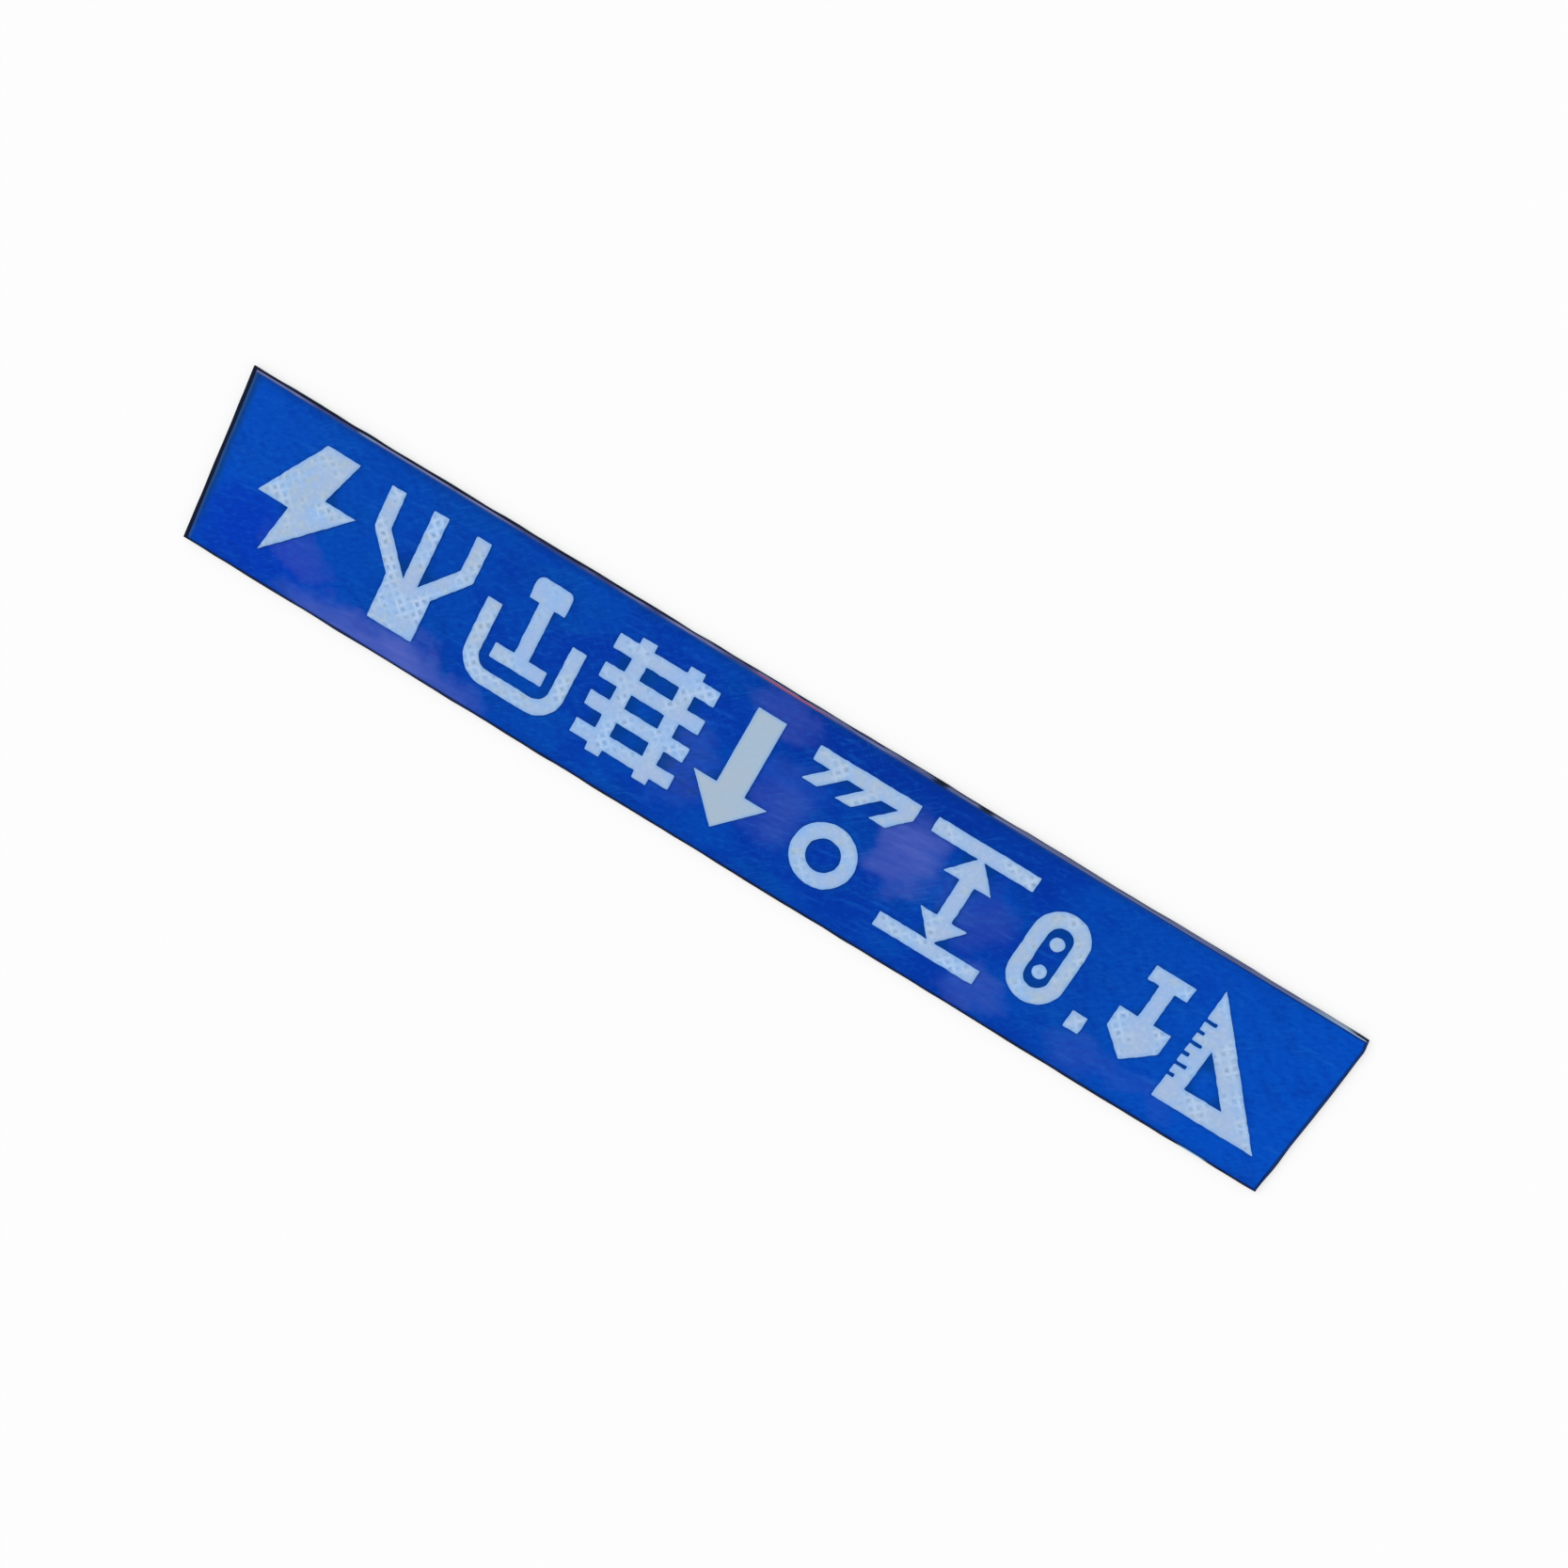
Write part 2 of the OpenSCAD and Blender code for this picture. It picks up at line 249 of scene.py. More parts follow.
def round_the_edge(low, high, step):
    """Places round a rectangle, one every step, and the way outward at each. A corner's way
    outward is the sum of its two sides', so that a shifted corner stays square."""
    corners = np.array([low, (high[0], low[1]), high, (low[0], high[1])])
    normals = np.array([(0.0, -1.0), (1.0, 0.0), (0.0, 1.0), (-1.0, 0.0)])
    places, ways = [], []
    for side in range(4):
        run = corners[(side + 1) % 4] - corners[side]
        share = np.arange(0, 1, step / np.abs(run).sum())[:, None]
        places.append(corners[side] + share * run)
        ways.append(normals[side] + np.zeros_like(places[-1]))
        ways[-1][0] += normals[side - 1]
    return np.concatenate(places), np.concatenate(ways)


def waver(count, step, wave, size, rng):
    """Smooth noise round a closed line: random values in which waves shorter than wave fade
    out as a bell curve, scaled so that they stray by size."""
    fade = np.exp(-(np.fft.rfftfreq(count, step) * wave) ** 2)
    fade[0] = 0
    rough = np.fft.irfft(np.fft.rfft(rng.normal(size=count)) * fade, count)
    return rough / rough.std() * size


def loft(rings, start, count, total):
    """Quads between rings of count points that lie total points apart, the first at start."""
    here = start + np.arange(count)
    then = np.roll(here, -1)
    lower = np.arange(rings - 1)[:, None] * total
    upper = lower + total
    quads = np.stack([here + lower, then + lower, then + upper, here + upper], -1)
    return quads.reshape(-1, 4)


def new_piece(name, points, faces, smooth, finish, slot, *nodes):
    """Links a mesh, given in millimetres, as a piece that stands for the named CAD nodes."""
    mesh = bpy.data.meshes.new(name)
    mesh.from_pydata((points * MM).tolist(), [], faces)
    mesh.polygons.foreach_set("use_smooth", np.asarray(smooth, bool))
    mesh.materials.append(finish)
    piece = bpy.data.objects.new(name, mesh)
    bpy.context.scene.collection.objects.link(piece)
    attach(piece, "root")
    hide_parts(*nodes)
    return piece


def store(piece, name, values):
    """Gives each point of a piece a number, for its material to read under this name."""
    made = piece.data.attributes.new(name, "FLOAT", "POINT")
    made.data.foreach_set("value", values.astype(np.float32))


SHEAR_STEP = 1.25
SHEAR_WAVE = 14.0
SHEAR_INWARD = 1.5
SKIN_STRAY, CORE_STRAY = 0.04, 0.08
BACK_SEED, FRONT_SEED, CORE_SEED = 1, 2, 3
CLIP_ALONG = (195.0, 199.0)
CLIP_ACROSS = (27.0, 31.0)
CLIP = 1.1


def clipped(x, y):
    """How far the knocked upper right corner is set back: CLIP at the corner itself, falling
    evenly to nothing along both edges, so that no two places change their order."""
    return CLIP * np.interp(x, CLIP_ALONG, (0, 1)) * np.interp(y, CLIP_ACROSS, (0, 1))


def sheared_layer(name, node, profile, stray, seed, finish, slot):
    """One layer of the panel: profile, a list of (shift outward, height), is carried round the
    rectangle. Its shift wavers along the edge by stray, round a mean that lies SHEAR_INWARD
    times as far inward, and never goes outward."""
    low, high = (np.array(corner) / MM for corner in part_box(node))
    places, ways = round_the_edge(low[:2], high[:2], SHEAR_STEP)
    sway = waver(len(places), SHEAR_STEP, SHEAR_WAVE, stray, np.random.default_rng(seed))
    shift = profile[:, 0, None] + np.minimum(sway - SHEAR_INWARD * stray, 0)
    flat = places + ways * shift[:, :, None]
    flat[:, :, 0] -= clipped(flat[:, :, 0], flat[:, :, 1])
    height = low[2] + profile[:, 1, None, None] + np.zeros_like(flat[:, :, :1])
    points = np.concatenate([flat, height], axis=2).reshape(-1, 3)
    count, rings = len(places), len(profile)
    sides = loft(rings, 0, count, count)
    ends = [np.arange(count)[::-1].tolist(), (np.arange(count) + (rings - 1) * count).tolist()]
    smooth = np.arange(len(sides) + 2) < len(sides)
    return new_piece(name, points, sides.tolist() + ends, smooth, finish, slot, node)


ROLL_LINE = 0.35
SKIN_BRIGHT = tone(198, 201, 206)
SKIN_DULL = tone(150, 155, 164)
BACK_PROFILE = np.array([(-0.05, 0.0), (0.0, 0.05), (0.0, 0.2)])

mill = Finish(bpy.data.materials.new("mill_aluminium"))
place = in_millimetres(mill)
lines = cloud(mill, place, ROLL_LINE, 3.0, (220, 1, 1))
handled = cloud(mill, place, 26, 3.0, (2.2, 1, 1), (3, 7, 0)).rise(0.42, 0.68)
skin_colour = between(mill, SKIN_BRIGHT, SKIN_DULL, lines.rise(0.3, 0.75) * 0.5 + handled * 0.4)
mill_finish = surface(mill, skin_colour, 0.34 + handled * 0.16, 0.5, lines, 0.01, 1.0)
sheared_layer("back_sheet", "back_skin", BACK_PROFILE, SKIN_STRAY, BACK_SEED, mill_finish,
              "aluminium_skin")

RIM_PALE = tone(118, 124, 170)
RIM_DULL = tone(62, 72, 132)
RIM_SHADE = tone(12, 28, 66)
RIM_LIGHT = tone(150, 178, 206)
RIM_WARM = tone(150, 92, 128)
RIM_SIDE = tone(46, 72, 116)
RIM_BLACK = tone(8, 22, 48)
RIM_CYAN_REFLECTION = tone(96, 172, 232)
RIM_GLINT = tone(206, 224, 232)
RIM_GREY = tone(98, 110, 150)
RIM_BLUE = tone(10, 58, 134)
WARM_PLACE, WARM_REACH = (-4, 30), (16, 8)
LIGHT_PLACE, LIGHT_REACH = (-158, 30), (4, 8)
REFLECTION_PLACE, REFLECTION_REACH = (177, -30), (6, 3)
NICKS, NICK_REACH = ((50, 30.4), (66, 30.4)), (3.6, 1.6)
ROLLED_PROFILE = np.array([(0.0, 0.0), (0.0, 0.05), (-0.02, 0.11), (-0.06, 0.16), (-0.15, 0.2)])

rim = Finish(bpy.data.materials.new("rolled_rim"))
place = in_millimetres(rim)
x, y = parts(place)
lines = cloud(rim, place, ROLL_LINE, 3.0, (120, 1, 1))
smears = cloud(rim, place, 9, 3.0, (2.5, 1, 1), (11, 2, 0))
# Painted light: the upper edge's band takes pale lit tones, lighter towards the right end, with
# painted highlights there and a lighter painted spot near the left end.
upper = between(rim, RIM_PALE, RIM_DULL, smears.rise(0.38, 0.62))
upper = between(rim, upper, RIM_GREY, x.rise(0, 80) * 0.8)
upper = between(rim, upper, RIM_LIGHT, (x + smears * 30).rise(187, 203) * 0.75)
painted_glints = (lines * 0.5 + smears * 0.5).rise(0.46, 0.60) * x.rise(178, 194)
upper = between(rim, upper, RIM_GLINT, painted_glints * 0.6)
upper = between(rim, upper, RIM_WARM, patch(x, y, WARM_PLACE, WARM_REACH))
upper = between(rim, upper, RIM_LIGHT, patch(x, y, LIGHT_PLACE, LIGHT_REACH) * 0.5)
# Painted shade: the rest of the rim is dark, bluish grey at its left end and bluer next to the
# film.
rim_lit_and_shaded = between(rim, RIM_SHADE, RIM_SIDE, x.rise(-190.0, -196.0) * y.rise(-30.0, -29.0))
beside_film = x.rise(198.0, 199.2).larger(y.rise(29.0, 29.6))
rim_lit_and_shaded = between(rim, rim_lit_and_shaded, RIM_BLUE, beside_film * 0.8)
# The painted light band shows only along the top edge.
shown = (y - x * 0.002).rise(29.6, 29.9) * x.rise(199.2, 197.5)
rim_lit_and_shaded = between(rim, rim_lit_and_shaded, upper, shown)
# Painted shade: black along the outer edge where it rolls over, on the left half of the top and at
# the left end.
rolled_shade = (y + smears * 0.3).rise(30.4, 30.6) * x.rise(0.0, -120.0)
rolled_shade = rolled_shade.larger((x + smears * 0.4).rise(-198.3, -198.7))
rim_lit_and_shaded = between(rim, rim_lit_and_shaded, RIM_BLACK, rolled_shade)
# A painted cyan reflection on the rim near the lower right corner.
rim_lit_and_shaded = between(rim, rim_lit_and_shaded, RIM_CYAN_REFLECTION, patch(x, y, REFLECTION_PLACE, REFLECTION_REACH) * 0.9)
# Black spots at two nicks break the painted light band.
for nick in NICKS:
    nicked = patch(x + smears * 2, y, nick, NICK_REACH)
    rim_lit_and_shaded = between(rim, rim_lit_and_shaded, RIM_BLACK, nicked * 0.9)
rim_finish = surface(rim, rim_lit_and_shaded, 0.5, 0.05, lines, 0.01)
sheared_layer("front_sheet", "front_skin", ROLLED_PROFILE, SKIN_STRAY, FRONT_SEED, rim_finish,
              "aluminium_skin")


# Core. The middle of the panel is black polyethylene. The shear squeezes it out a little past
# both skins and leaves fine drag marks across its edge. Along the upper edge it has smeared
# the skin down over the core, more so towards the right, and the smeared skin takes the rim's
# pale lit tones as painted light.
CORE_BLACK = tone(5, 18, 42)
CORE_SCUFFED = tone(24, 40, 70)
CORE_PROFILE = np.array([
    (-0.5, 0.0), (-0.16, 0.2), (0.0, 0.5), (0.0, 1.1), (-0.16, 1.4), (-0.5, 1.6)])

drag = Finish(bpy.data.materials.new("black_core"))
place = in_millimetres(drag)
x, y, z = parts(place, "XYZ")
grooves = cloud(drag, place, 0.3, 3.0, (1, 1, 9))
scuffs = cloud(drag, place, 9, 4.0)
scuffed = scuffs.rise(0.50, 0.72) * 0.5 + grooves.rise(0.50, 0.75) * 0.5
core_colour = between(drag, CORE_BLACK, CORE_SCUFFED, scuffed)
# Painted light: the skin smeared down over the top of the core takes the rim's pale lit tones,
# paler towards the right and broken at the two nicks.
lit_skin_smear = (z + x * 0.002 + scuffs * 0.3).rise(1.68, 1.82) * y.rise(30.2, 30.6) * x.rise(196, 191)
lit_smear_colour = between(drag, RIM_DULL, RIM_PALE, scuffs.rise(0.4, 0.6))
lit_smear_colour = between(drag, lit_smear_colour, RIM_GREY, x.rise(0, 80) * 0.8)
lit_smear_colour = between(drag, lit_smear_colour, RIM_LIGHT, (x + scuffs * 30).rise(187, 203) * 0.7)
for nick in NICKS:
    lit_skin_smear = lit_skin_smear * (1 - patch(x + scuffs * 2, y, nick, NICK_REACH))
core_colour = between(drag, core_colour, lit_smear_colour, lit_skin_smear * 0.8)
core_finish = surface(drag, core_colour, 0.62 + scuffs * 0.2, 0.1, grooves, 0.03)
sheared_layer("squeezed_core", "core", CORE_PROFILE, CORE_STRAY, CORE_SEED, core_finish, "core")


# White marks' cut lines. The fourteen pictograms and the arrow are cut from white film with a
# knife. Their outlines are found here, because the blue film's colour holds painted shade in the
# gaps between them and a painted shadow beside them.
SAME_POINT = 0.001
FACES_UP = 0.9


def outlines(node):
    """The closed outlines of a flat node's upper face, as complex numbers in millimetres, with
    the face on the left."""
    copy = bmesh.new()
    copy.from_mesh(node.data)
    bmesh.ops.remove_doubles(copy, verts=copy.verts, dist=SAME_POINT * MM)
    bmesh.ops.recalc_face_normals(copy, faces=copy.faces)
    places = np.array([vertex.co.xy for vertex in copy.verts]) @ (1 / MM, 1j / MM)
    after = {}
    for face in copy.faces:
        for corner in face.loops:
            if face.normal.z > FACES_UP > corner.link_loop_radial_next.face.normal.z:
                after[corner.vert.index] = corner.link_loop_next.vert.index
    copy.free()
    found = []
    while after:
        walk = [next(iter(after))]
        while walk[-1] in after:
            walk.append(after.pop(walk[-1]))
        found.append(places[walk[:-1]])
    return found


KNIFE_STEP = 0.35
KNIFE_WAVE = 3.0
LEAST_POINTS = 16


def bell(count, step, width):
    """How much is left of each wave in a closed line of points, step apart, once it has been
    smoothed with a bell curve of that width."""
    return np.exp(-2 * (np.pi * np.fft.fftfreq(count, step) * width) ** 2)


def cut_line(outline, softness, stray, rng):
    """An outline as a knife follows it: points every step along it, its corners rounded by a
    bell curve of width softness, and all of it led astray by smooth noise of size stray."""
    closed = np.append(outline, outline[0])
    run = np.append(0, np.cumsum(np.abs(np.diff(closed))))
    count = max(LEAST_POINTS, round(run[-1] / KNIFE_STEP))
    step = run[-1] / count
    at = np.arange(count) * step
    line = np.interp(at, run, closed.real) + 1j * np.interp(at, run, closed.imag)
    soft = np.fft.ifft(np.fft.fft(line) * bell(count, step, softness))
    aside, along = (waver(count, step, KNIFE_WAVE, stray, rng) for _ in range(2))
    return soft + aside + 1j * along


def covered(spots, lines):
    """True for each spot from which a line to the right crosses the cut lines an odd number of
    times, and the distance from each spot to the nearest cut."""
    a = np.concatenate(lines)
    b = np.concatenate([np.roll(line, -1) for line in lines])
    spots = spots[:, None]
    crosses = (a.imag > spots.imag) != (b.imag > spots.imag)
    rise = np.where(a.imag == b.imag, 1.0, b.imag - a.imag)
    where = a.real + (spots.imag - a.imag) / rise * (b.real - a.real)
    inside = (crosses & (where > spots.real)).sum(1) % 2 == 1
    return inside, np.abs(spots - a).min(1)


PANEL = ("back_skin", "core", "front_skin", "blue_film")
CORNER_SOFTNESS, ARROW_SOFTNESS = 0.24, 0.18
KNIFE_STRAY, ARROW_STRAY = 0.05, 0.02
cuts = {}
for number, name in enumerate(sorted(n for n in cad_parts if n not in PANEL)):
    rng = np.random.default_rng(number)
    arrow = name == "down_arrow"
    cuts[name] = [cut_line(line, ARROW_SOFTNESS if arrow else CORNER_SOFTNESS,
                           ARROW_STRAY if arrow else KNIFE_STRAY, rng)
                  for line in outlines(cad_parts[name])]


# Blue film. One sheet of prismatic reflective film covers the front, trimmed a little short of
# the skin. Its cells are welded along lines at 45 degrees, which show as a faint, patchy net. It
# has violet patches, and wear has left fine streaks, a scraped spot and a hazy pale margin on it.
# Its colour also holds painted light: a painted sheen towards the ends, the right and the bottom,
# and painted shade over the top middle, along the edges, between the white marks and beside them.
FILM_STEP = 1.0
FILM_LIP = 0.06
TRIM_AT = (-199, -120, 20, 100, 150, 185, 200)
TRIM = (0.05, 0.0, 0.0, 0.0, 0.05, 0.1, 0.15)
TRIM_WAVE = 12.0
TRIM_STRAY = 0.04
TRIM_SEED = 7
# How far from the marks the painted shade beside them is worked out.
MARK_SHADE_REACH = 6.0
CROWD_WIDTH = 3.2


def lipped(count, thickness):
    """Shares from 0 to 1 along one side of the sheet, with the three rings of its edge at each
    end: foot, top of the wall, lip. Gives the shares, the shifts inward and the drops."""
    share = np.concatenate([[0, 0], np.linspace(0, 1, count + 1), [1, 1]])
    shift, drop = np.zeros_like(share), np.zeros_like(share)
    shift[2], shift[-3] = FILM_LIP, -FILM_LIP
    drop[:2], drop[-2:] = (thickness, FILM_LIP), (FILM_LIP, thickness)
    return share, shift, drop


low, high = (np.array(corner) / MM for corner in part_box("blue_film"))
size = high - low
along, shift_x, drop_x = lipped(round(size[0] / FILM_STEP), size[2])
across, shift_y, drop_y = lipped(round(size[1] / FILM_STEP), size[2])
trim = np.interp(low[0] + along * size[0], TRIM_AT, TRIM)
rng = np.random.default_rng(TRIM_SEED)
trim += np.abs(waver(len(along), FILM_STEP, TRIM_WAVE, TRIM_STRAY, rng))
grid_x = (low[0] + along * size[0] + shift_x)[:, None] + 0 * across
grid_y = low[1] + across * (size[1] - trim[:, None]) + shift_y
grid_z = high[2] - np.maximum(drop_x[:, None], drop_y)
grid_x -= clipped(grid_x, grid_y)

spots = (grid_x + 1j * grid_y).ravel()
# Whether a mark covers each point of the blue film, and how near the nearest cut lies, for the
# painted shade between the marks and the painted shadow beside them.
near, taken = np.full(spots.shape, MARK_SHADE_REACH), np.zeros(spots.shape)
for lines in cuts.values():
    close = np.ones(spots.shape, bool)
    for side, cut in ((spots.real, np.concatenate(lines).real),
                      (spots.imag, np.concatenate(lines).imag)):
        close &= np.abs(side - np.clip(side, cut.min(), cut.max())) < MARK_SHADE_REACH
    inside, distance = covered(spots[close], lines)
    taken[close] = np.maximum(taken[close], inside)
    near[close] = np.minimum(near[close], distance)
fade_x, fade_y = (bell(count, FILM_STEP, CROWD_WIDTH) for count in grid_x.shape)
crowd = np.fft.ifft2(np.fft.fft2(taken.reshape(grid_x.shape)) * fade_x[:, None] * fade_y).real

CELL = 3.8
BLUE = tone(0, 68, 174)
BLUE_INDIGO = tone(0, 50, 162)
BLUE_TEAL = tone(0, 74, 170)
BLUE_DEEP = tone(0, 46, 150)
BLUE_SHEEN = tone(0, 76, 190)
BLUE_ROYAL = tone(0, 50, 182)
BLUE_LINE = tone(20, 98, 196)
BLUE_EDGE = tone(8, 24, 70)
BLUE_SHADED = tone(0, 58, 132)
BLUE_DIM = tone(2, 48, 126)
VIOLET = tone(80, 98, 187)
HAZE = tone(56, 88, 138)
LEFT_EDGE_SHADE = tone(10, 58, 108)
VIOLET_PATCHES = (
    ((-125, -29), (44, 13), 0.80), ((-163, -13), (15, 10), 0.24), ((-2, 23), (16, 9), 0.30),
    ((-24, -8), (14, 20), 0.18), ((10, -3), (18, 17), 0.24), ((52, 6), (13, 18), 0.64),
    ((78, -1), (18, 17), 0.18), ((92, -23), (14, 9), 0.30), ((130, -23), (12, 9), 0.12),
    ((150, -21), (20, 6), 0.10))
TOP_SHADE_PLACE, TOP_SHADE_REACH = (40, 26), (70, 22)
ROYAL_PLACE, ROYAL_REACH = (-178, -18), (34, 20)
SCRAPE_PLACE, SCRAPE_REACH = (-23, -9), (17, 15)


def net(x, y, cell):
    """How far a place is from the nearest line of each family, as a share of the cell's width
    along the plate: 0 on a line, 0.5 halfway between two."""
    return [way.maths("PINGPONG", way / cell, 0.5) for way in (x + y, x - y)]


sheet = Finish(bpy.data.materials.new("blue_prismatic_film"))
place = in_millimetres(sheet)
x, y = parts(place)
drift_x, drift_y = parts(stirred(sheet, place, 13, 20))
laid = stirred(sheet, place, 2.5, 0.9)
one, two = net(*parts(laid), CELL)
weld = one.smaller(two)
clearness = cloud(sheet, place, 24, 3.0, (1.6, 1, 1), (5, 1, 0)).rise(0.46, 0.66)
clearness = clearness * y.rise(-40, 26)
billows = cloud(sheet, place, 20, 4.0, (1.4, 1, 1), (2, 4, 0))
ragged = cloud(sheet, place, 9, 4.0, (2.2, 1, 1), (8, 4, 0), 0.15)
wiped = cloud(sheet, laid, 3.5, 4.0, (4, 1, 1), (0, 9, 0), -0.62)
brushed = cloud(sheet, place, 2.0, 4.0, (7, 1, 1), (4, 0, 0), 0.12)
hairs = cloud(sheet, place, 0.5, 3.0, (16, 1, 1), (1, 2, 0), 0.70)
grain = cloud(sheet, laid, 1.3, 3.0, (1.8, 1, 1), (3, 3, 0), 0.4)
scrapes = cloud(sheet, laid, 1.1, 3.0, (8, 1, 1), (6, 2, 0), 0.75)
ends = ((x - 10) / 190) ** 2.0
blue = between(sheet, BLUE, BLUE_INDIGO, (billows - ends * 0.2).rise(0.38, 0.56) * 0.8)
blue = between(sheet, blue, BLUE_TEAL, (ragged + ends * 0.1).rise(0.5, 0.7) * 0.7)
# Painted sheen: the blue grows lighter towards both ends, the right and the bottom.
blue = between(sheet, blue, BLUE_SHEEN, (ends + x / 900 - y / 500 + wiped * 0.4).rise(0.45, 1.3))
# Painted shade: darker over the top middle.
blue = between(sheet, blue, BLUE_DEEP, patch(drift_x, drift_y, TOP_SHADE_PLACE, TOP_SHADE_REACH) * 0.85)
blue = between(sheet, blue, BLUE_ROYAL, patch(drift_x, drift_y, ROYAL_PLACE, ROYAL_REACH) * 0.8)
blue = between(sheet, blue, BLUE_DEEP, (wiped * 0.6 + ragged * 0.4).rise(0.46, 0.70) * 0.45)
blue = between(sheet, blue, BLUE_DEEP, grain.rise(0.50, 0.25) * 0.42)
blue = between(sheet, blue, BLUE_LINE, grain.rise(0.50, 0.80) * 0.3)
strokes = brushed.rise(0.54, 0.72) * billows.rise(0.4, 0.6)
blue = between(sheet, blue, BLUE_LINE, strokes * 0.34)
scratches = hairs.rise(0.52, 0.72) * ragged.rise(0.44, 0.60)
blue = between(sheet, blue, BLUE_LINE, scratches * 0.36)
scraped = scrapes.rise(0.50, 0.66) * patch(drift_x, drift_y, SCRAPE_PLACE, SCRAPE_REACH)
blue = between(sheet, blue, BLUE_SHADED, scraped * 0.9)
# Painted shade: darker along the top edge, more so on the left, and a little along the bottom.
edge_shade = y.rise(26.5, 30.0) * x.rise(240.0, 60.0) * 0.5 + y.rise(-26.5, -30.0) * 0.25
blue = between(sheet, blue, BLUE_DIM, edge_shade)
streaks = brushed * 1.2 + ragged * 1.4 - 0.3
for middle, reach, share in VIOLET_PATCHES:
    blue = between(sheet, blue, VIOLET, patch(drift_x, drift_y, middle, reach) * share * streaks)
# Painted shade: darker at the left end.
haze_and_shade = (x + ragged * 1.4).rise(-194.4, -197.5) * y.rise(-40.0, -10.0)
blue = between(sheet, blue, LEFT_EDGE_SHADE, haze_and_shade * 0.8)
# A hazy pale margin along the top and at the left end.
haze_and_shade = (y + ragged * 0.8).rise(29.7, 30.3) * x.rise(180.0, 60.0)
haze_and_shade = haze_and_shade.larger((x + ragged * 0.8).rise(-197.0, -197.8))
blue = between(sheet, blue, HAZE, haze_and_shade * 0.5)
# Painted shade: a dark line along the bottom edge and a faint one along the right edge.
blue = between(sheet, blue, BLUE_EDGE, (y + ragged * 0.6).rise(-28.9, -29.5) * 0.8)
blue = between(sheet, blue, BLUE_EDGE, (x + ragged * 1.2).rise(198.6, 199.8) * 0.15)
netted = weld.rise(0.11, 0.01) * clearness * grain.rise(0.3, 0.6)
blue = between(sheet, blue, BLUE_LINE, netted * 0.3)
# Painted shade in the gaps between the white marks, and a painted shadow beside them.
shade = sheet.stored("crowded").rise(0.34, 0.66) * 0.75
shade = shade.larger((sheet.stored("beside") + grain * 1.5).rise(2.2, 0.7) * 0.28)
blue = between(sheet, blue, BLUE_SHADED, shade)
film_finish = surface(sheet, blue, 0.34, 0.03, weld.rise(0.0, 0.12), 0.02)

rows, columns = grid_x.shape
index = np.arange(rows * columns).reshape(rows, columns)
quads = np.stack([index[:-1, :-1], index[1:, :-1], index[1:, 1:], index[:-1, 1:]], -1)
quads = quads.reshape(-1, 4)
foot = np.concatenate([index[0], index[1:, -1], index[-1, -2::-1], index[-2:0:-1, 0]])
points = np.stack([grid_x, grid_y, grid_z], -1).reshape(-1, 3)
film = new_piece("blue_sheet", points, quads.tolist() + [foot.tolist()],
                 np.zeros(len(quads) + 1), film_finish, "blue_film", "blue_film")
store(film, "crowded", crowd.ravel())
store(film, "beside", near)
shell = bmesh.new()
shell.from_mesh(film.data)
bmesh.ops.remove_doubles(shell, verts=shell.verts, dist=SAME_POINT * MM)
shell.to_mesh(film.data)
shell.free()


# White marks. Each pictogram is one piece of white prismatic film, stuck on the blue one. Each
# lies as it was cut, so the net of its cells starts at another place and turn, and the weather
# has left it mottled, with a bluish rim and smudges in the cells.
WHITE_BODY = tone(163, 188, 218)
WHITE_COOL = tone(140, 184, 234)
WHITE_VIOLET = tone(168, 180, 224)
WHITE_GREY = tone(171, 188, 199)
WHITE_EDGE = tone(122, 172, 230)
WHITE_PALE = tone(192, 213, 246)
SMUDGE = tone(122, 142, 182)


def white_film(name, turn, shift, netted, grey):
    """White film whose net is turned and shifted; netted is how clearly its cells show, and
    grey how much of it has gone grey."""
    film = Finish(bpy.data.materials.new(name))
    place = in_millimetres(film)
    laid = stirred(film, place, 2.2, 1.3)
    laid = film.node("Mapping", {}, {"Vector": laid, "Location": shift, "Rotation": (0, 0, turn)})
    one, two = net(*parts(laid), CELL)
    weld = one.smaller(two)
    middle = ((0.5 - one) ** 2.0 + (0.5 - two) ** 2.0) ** 0.5
    wide = cloud(film, place, 12, 1.0, shift=shift)
    other = cloud(film, place, 10, 1.0, shift=shift[::-1])
    blotches = cloud(film, place, 3.5, 4.0, shift=shift)
    fine = cloud(film, place, 1.3, 3.0, shift=shift)
    shown = (other + blotches * 0.4).rise(0.62, 0.90) * netted
    rough = 0.2 + 0.8 * netted
    white = between(film, WHITE_BODY, WHITE_COOL, (wide + blotches * 0.3).rise(0.4, 0.95))
    white = between(film, white, WHITE_VIOLET, other.rise(0.65, 0.3) * 0.35)
    white = between(film, white, WHITE_GREY, (blotches + grey).rise(0.45, 0.75) * 0.7)
    white = between(film, white, WHITE_PALE, fine.rise(0.46, 0.75) * 0.3 * rough)
    white = between(film, white, WHITE_COOL, fine.rise(0.50, 0.25) * 0.4 * rough)
    white = between(film, white, WHITE_PALE, weld.rise(0.30, 0.0) * shown * 0.7)
    spot = (middle + fine * 0.8 - 0.4).rise(0.34, 0.02)
    white = between(film, white, SMUDGE, spot * shown * blotches.rise(0.35, 0.6) * 0.8)
    edge = (film.stored("from_edge") + blotches * 0.8).rise(1.8, 0.3)
    white = between(film, white, WHITE_EDGE, edge * 0.65)
    return surface(film, white, 0.42, 0.06, weld.rise(0.0, 0.14), 0.02)


WALL_SHARE = 0.84
ROUND_WIDTH = 0.4
INSET = 0.16
INSET_LEAST = 0.9
LID_STEP = 0.8
SAME_SPOT = 1e-6


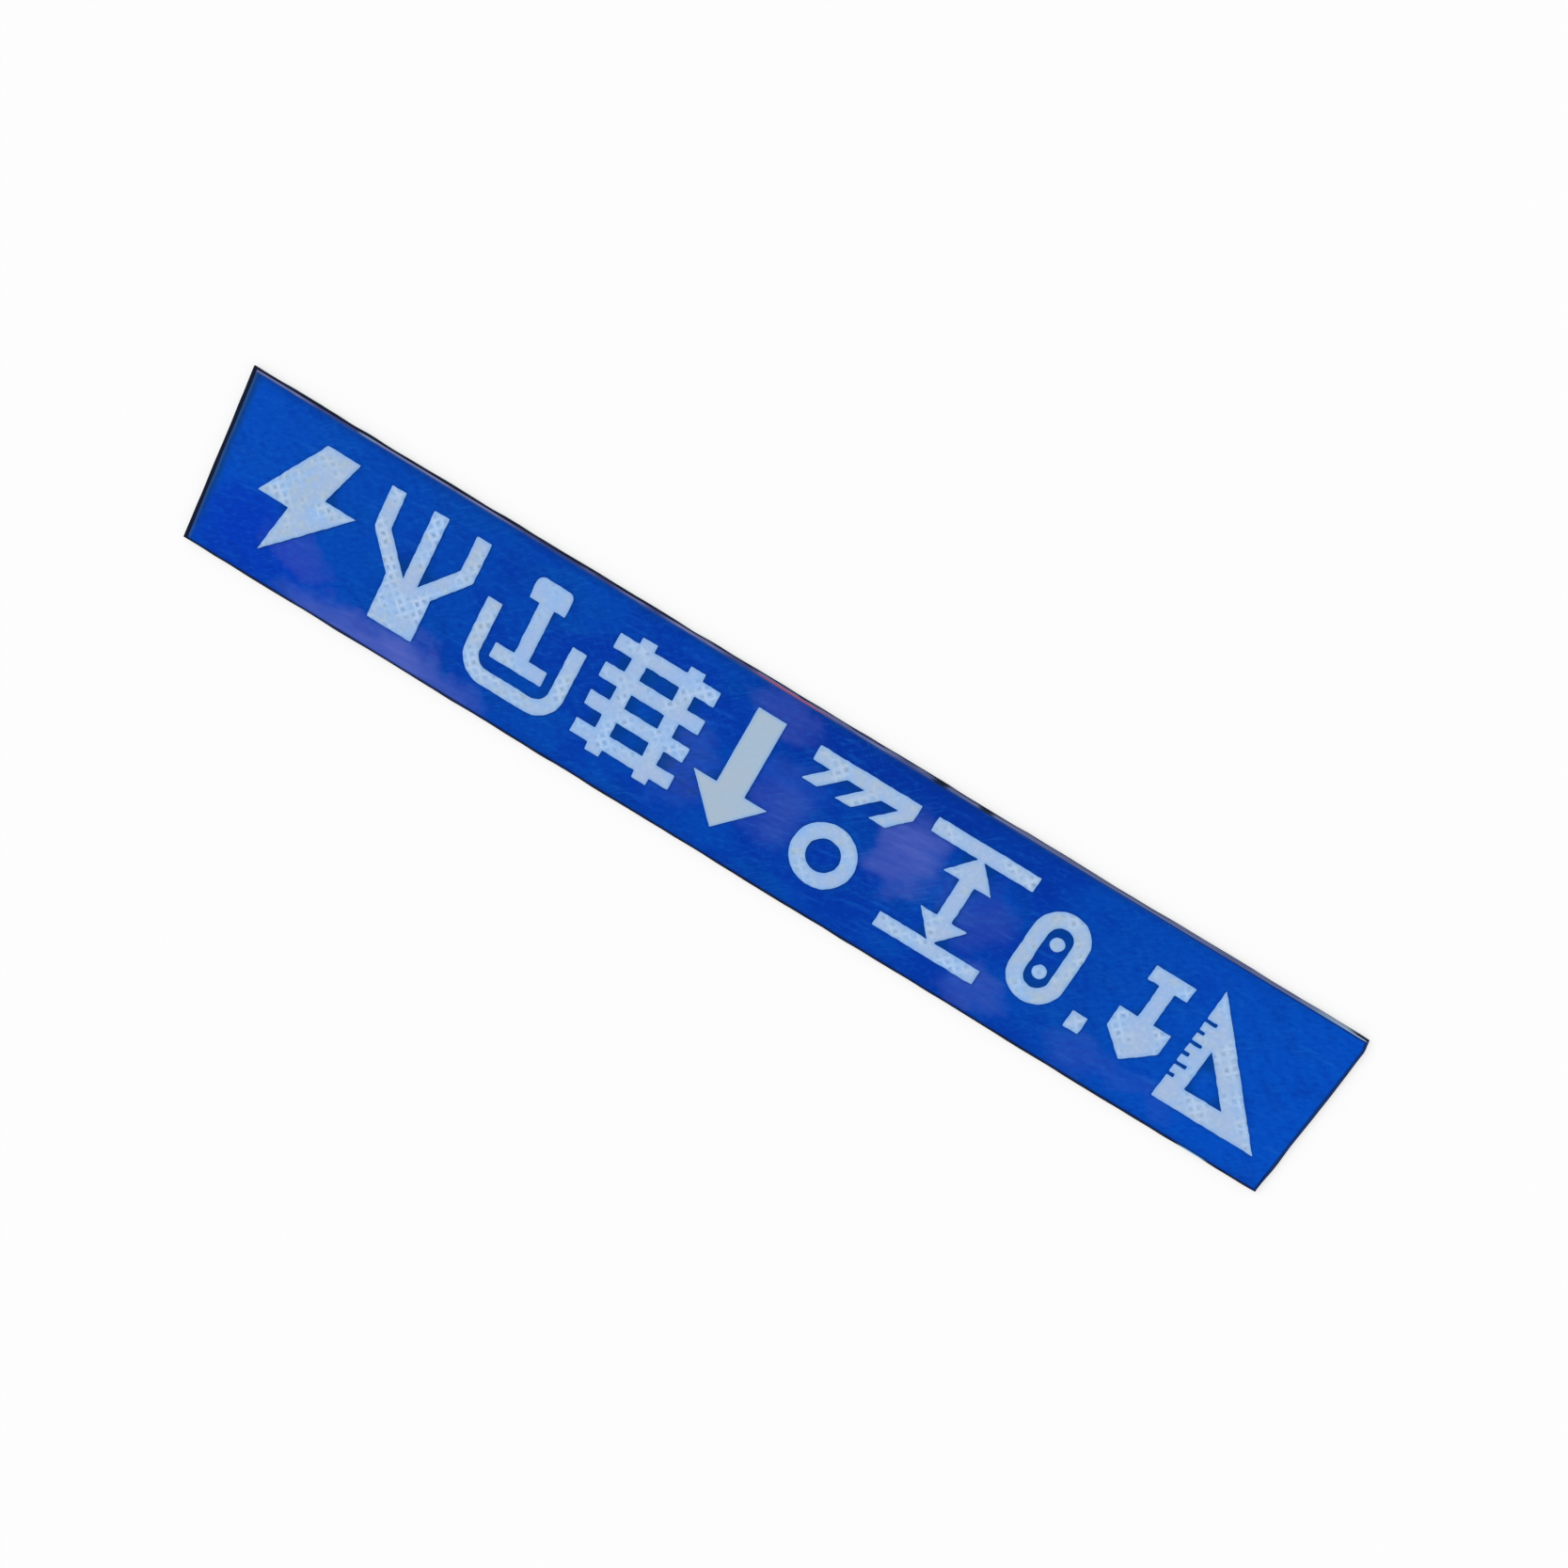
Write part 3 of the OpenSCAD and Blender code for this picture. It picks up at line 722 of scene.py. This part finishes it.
def points_inside(rings):
    """Points on the lid: a row just inside the rings, and a staggered grid further in. Gives
    them with their distances from the nearest ring."""
    line = np.concatenate(rings)
    ahead = np.concatenate([np.roll(ring, -1) - np.roll(ring, 1) for ring in rings])
    row = line + 1j * ahead / np.abs(ahead) * INSET
    x = np.arange(line.real.min(), line.real.max(), LID_STEP)
    y = np.arange(line.imag.min(), line.imag.max(), LID_STEP)
    x = x + (np.arange(len(y)) % 2)[:, None] * LID_STEP / 2
    spots = np.append(row, (x + 1j * y[:, None]).ravel())
    least = np.where(np.arange(len(spots)) < len(row), INSET_LEAST * INSET, ROUND_WIDTH)
    inside, distance = covered(spots, rings)
    kept = inside & (distance > least)
    return spots[kept], distance[kept]


def filled(rings, inner):
    """Triangles between the points of the rings and the inner points: the plane is split
    between all of them, and what lies outside the rings is left out."""
    spots = np.concatenate([*rings, inner])
    edges, start = [], 0
    for ring in rings:
        here = start + np.arange(len(ring))
        edges.append(np.stack([here, np.roll(here, -1)], -1))
        start += len(ring)
    split = delaunay_2d_cdt([Vector((spot.real, spot.imag)) for spot in spots],
                            np.concatenate(edges).tolist(), [], 0, SAME_SPOT)
    source = np.array([origin[0] for origin in split[3]])
    faces = source[np.array(split[2])]
    a, b, c = spots[faces].T
    faces = np.where((((b - a).conj() * (c - a)).imag < 0)[:, None], faces[:, ::-1], faces)
    return faces[covered((a + b + c) / 3, rings)[0]]


def cut_mark(node, finish):
    """One mark: a wall stands on its cut lines, and its lid rises from the wall's top as a
    quarter round: thickness * (1 - (1 - wall share) * (1 - distance / width) squared)."""
    low, high = (corner[2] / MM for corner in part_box(node))
    lines = cuts[node]
    inner, distance = points_inside(lines)
    total = sum(len(line) for line in lines)
    away = np.append(np.zeros(total), distance)
    share = 1 - (1 - WALL_SHARE) * (1 - np.minimum(away / ROUND_WIDTH, 1)) ** 2
    flat = np.concatenate([*lines, *lines, inner])
    height = low + (high - low) * np.append(np.zeros(total), share)
    starts = np.cumsum([0] + [len(line) for line in lines])
    sides = [loft(2, start, len(line), total) for start, line in zip(starts, lines)]
    lid = filled(lines, inner) + total
    foot = filled(lines, inner[:0])[:, ::-1]
    faces = np.concatenate(sides).tolist() + lid.tolist() + foot.tolist()
    points = np.stack([flat.real, flat.imag, height], -1)
    smooth = np.arange(len(faces)) < len(faces) - len(foot)
    piece = new_piece(node + "_cut", points, faces, smooth, finish, "white_film", node)
    store(piece, "from_edge", np.append(np.zeros(total), away))


MARK_SEED = 200
MARK_TURN = 0.06
MARK_NETTED, ARROW_NETTED = (0.5, 1.0), 0.05
MARK_GREY, ARROW_GREY = (-0.08, 0.1), 0.4

for number, name in enumerate(cuts):
    rng = np.random.default_rng(MARK_SEED + number)
    turn, slip, slide = rng.uniform(-MARK_TURN, MARK_TURN), *rng.uniform(-CELL, CELL, 2)
    netted, grey = rng.uniform(*MARK_NETTED), rng.uniform(*MARK_GREY)
    if name == "down_arrow":
        netted, grey = ARROW_NETTED, ARROW_GREY
    cut_mark(name, white_film("white_film_" + name, turn, (slip, slide, 0), netted, grey))
